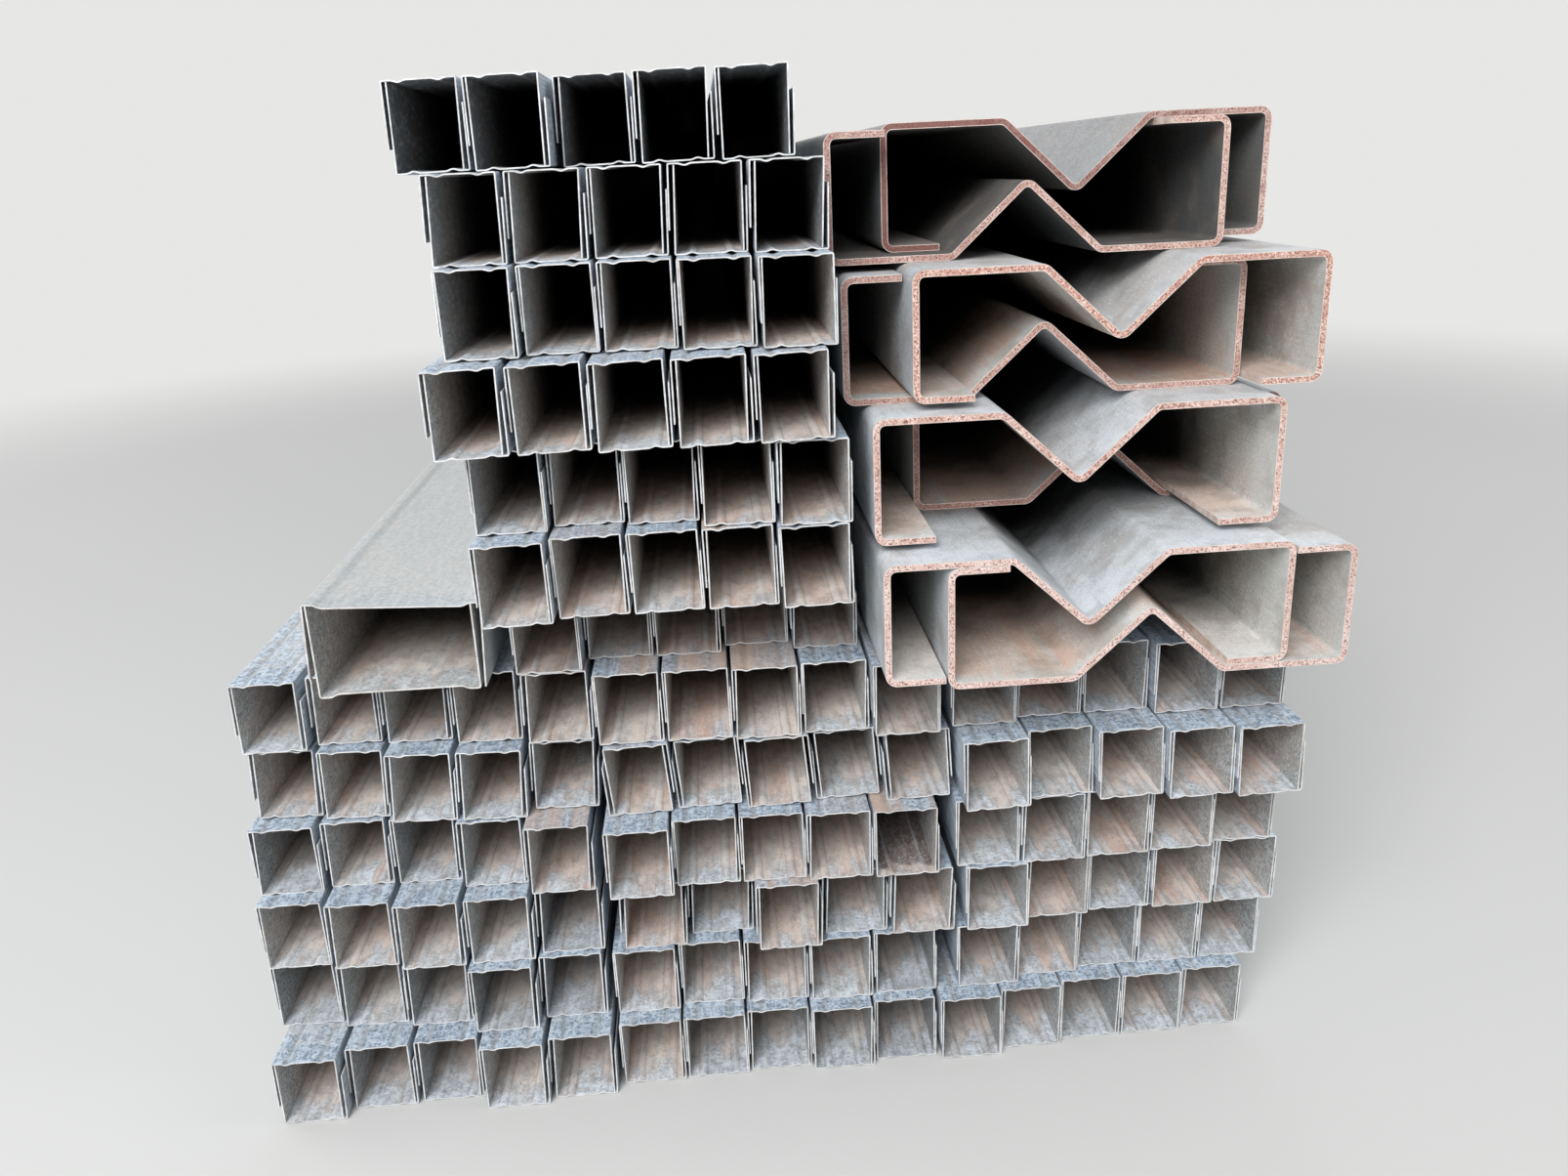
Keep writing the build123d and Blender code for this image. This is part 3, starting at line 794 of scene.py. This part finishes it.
for node, shift, cover_side, *pair in heavy_layers:
    near = heavy_line + shift * mm
    far = near + heavy_lip + lip_gap
    for part, setback, burns, chalk, shade, wash in pair:
        left = near if (part == "_cover") == (cover_side == "left") else far
        place = Matrix.Translation((left, front + setback * mm, heavy_level))
        if part == "_cover":
            cover_level = heavy_level + heavy_sheet + seat_gap
            place = Matrix.Translation((left, front + setback * mm, cover_level)) @ heavy_turned
        pattern = heavy_low_pattern if node + part == low_piece else heavy_pattern
        section = pattern.copy()
        section.data = pattern.data.copy()
        section.name = node + part + "_section"
        section.data.transform(place)
        bpy.context.scene.collection.objects.link(section)
        shares = [(vert.co.x - left) / heavy_web for vert in section.data.vertices]
        covered = node + part != top_piece
        inner = [covered and wall_share < share < 1 - wall_share for share in shares]
        mark_points(section, "burn", [burns[0] + (burns[1] - burns[0]) * share for share in shares])
        mark_points(section, "chalk", [chalk] * len(shares))
        # The shade mark paints shade over the whole section; the next mark paints shade under a cover.
        mark_points(section, "shade", [shade] * len(shares))
        mark_points(section, "wash", [wash] * len(shares))
        mark_points(section, "shade_under_cover", [float(is_inner) for is_inner in inner])
        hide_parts(node + part)
        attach(section, "root")
    heavy_level += heavy_flange + heavy_sheet + 2 * seat_gap
bpy.data.objects.remove(heavy_pattern)
bpy.data.objects.remove(heavy_low_pattern)


# Floor and light: a plain pale floor that fades into an even pale surround, and soft lamps from the front,
# the sides and the back. A small dark card, out of sight inside the upper block, paints shade: it closes the
# view straight through its studs with black.
surround_grey = (0.80, 0.80, 0.79)
floor_grey = (0.57, 0.57, 0.56)
floor_size = 60
floor_drop = 0.5 * mm
fade_start = 1.9
fade_end = 3.9
sky_colour = (0.97, 0.99, 1.0)
sky_strength = 0.55
shade_card_black = (0.01, 0.01, 0.01)
card_place = (-0.03, 0, 700 * mm)
card_scale = (0.12, 0.17, 1)
soft_lamps = [
    ("front_lamp", (-1.3, -4.6, 3.1), (0, -1.5, 0.35), 2.4, 220),
    ("right_lamp", (4.5, -1.5, 3.0), (0, 0, 0.3), 2.5, 45),
    ("left_lamp", (-4.5, 1.0, 3.0), (0, 0, 0.3), 2.5, 45),
    ("back_lamp", (0.5, 5.0, 3.0), (0, 1.5, 0.3), 2.5, 45),
]


def mix_shaders(tree, share, first, second, output):
    """Shows a second shader over the first by a share."""
    mix = tree.nodes.new("ShaderNodeMixShader")
    tree.links.new(share, mix.inputs["Fac"])
    tree.links.new(first, mix.inputs[1])
    tree.links.new(second, mix.inputs[2])
    tree.links.new(mix.outputs["Shader"], tree.nodes[output].inputs["Surface"])


bpy.ops.object.select_all(action="DESELECT")
bpy.ops.mesh.primitive_plane_add(size=floor_size, location=(0, 0, -floor_drop))
floor = bpy.context.object
floor.name = "studio_floor"
floor_material, floor_tree, floor_shader = new_material("floor_paint")
floor_shader.inputs["Base Color"].default_value = (*floor_grey, 1)
floor_shader.inputs["Roughness"].default_value = 0.9
far_away = floor_tree.nodes.new("ShaderNodeVectorMath")
far_away.operation = "LENGTH"
floor_tree.links.new(stretched_place(floor_tree), far_away.inputs[0])
floor_rays = floor_tree.nodes.new("ShaderNodeLightPath")
fade = times(floor_tree, spread(floor_tree, far_away.outputs["Value"], fade_start, fade_end),
             floor_rays.outputs["Is Camera Ray"])
glow = floor_tree.nodes.new("ShaderNodeEmission")
glow.inputs["Color"].default_value = (*surround_grey, 1)
mix_shaders(floor_tree, fade, floor_shader.outputs["BSDF"], glow.outputs["Emission"], "Material Output")
floor.data.materials.append(floor_material)

# The card is painted shade: black from the front, clear from behind, seen by the camera only.
card_material, card_tree, card_shader = new_material("painted_shade_card")
card_shader.inputs["Base Color"].default_value = (*shade_card_black, 1)
card_back = card_tree.nodes.new("ShaderNodeBsdfTransparent")
card_side = card_tree.nodes.new("ShaderNodeNewGeometry")
mix_shaders(card_tree, card_side.outputs["Backfacing"], card_shader.outputs["BSDF"],
            card_back.outputs["BSDF"], "Material Output")
bpy.ops.object.select_all(action="DESELECT")
bpy.ops.mesh.primitive_plane_add(size=1, location=card_place, rotation=(math.pi / 2, 0, 0))
card = bpy.context.object
card.name = "inner_shade_card"
card.scale = card_scale
card.data.materials.append(card_material)
card.visible_diffuse = False
card.visible_glossy = False
card.visible_shadow = False

for name, place, aim, size, power in soft_lamps:
    lamp_data = bpy.data.lights.new(name, "AREA")
    lamp_data.size = size
    lamp_data.energy = power
    lamp = bpy.data.objects.new(name, lamp_data)
    bpy.context.scene.collection.objects.link(lamp)
    lamp.location = place
    lamp.rotation_euler = (Vector(aim) - Vector(place)).to_track_quat("-Z", "Y").to_euler()

world = bpy.data.worlds.new("pale_surround")
bpy.context.scene.world = world
world.use_nodes = True
world_tree = world.node_tree
sky = world_tree.nodes["Background"]
sky.inputs["Color"].default_value = (*sky_colour, 1)
sky.inputs["Strength"].default_value = sky_strength
surround = world_tree.nodes.new("ShaderNodeBackground")
surround.inputs["Color"].default_value = (*surround_grey, 1)
surround.inputs["Strength"].default_value = 1.0
world_rays = world_tree.nodes.new("ShaderNodeLightPath")
seen = combine(world_tree, "MAXIMUM", world_rays.outputs["Is Camera Ray"],
               world_rays.outputs["Is Glossy Ray"])
seen = combine(world_tree, "MAXIMUM", seen, world_rays.outputs["Is Transmission Ray"])
mix_shaders(world_tree, seen, sky.outputs["Background"], surround.outputs["Background"], "World Output")
bpy.context.scene.view_settings.view_transform = "Standard"
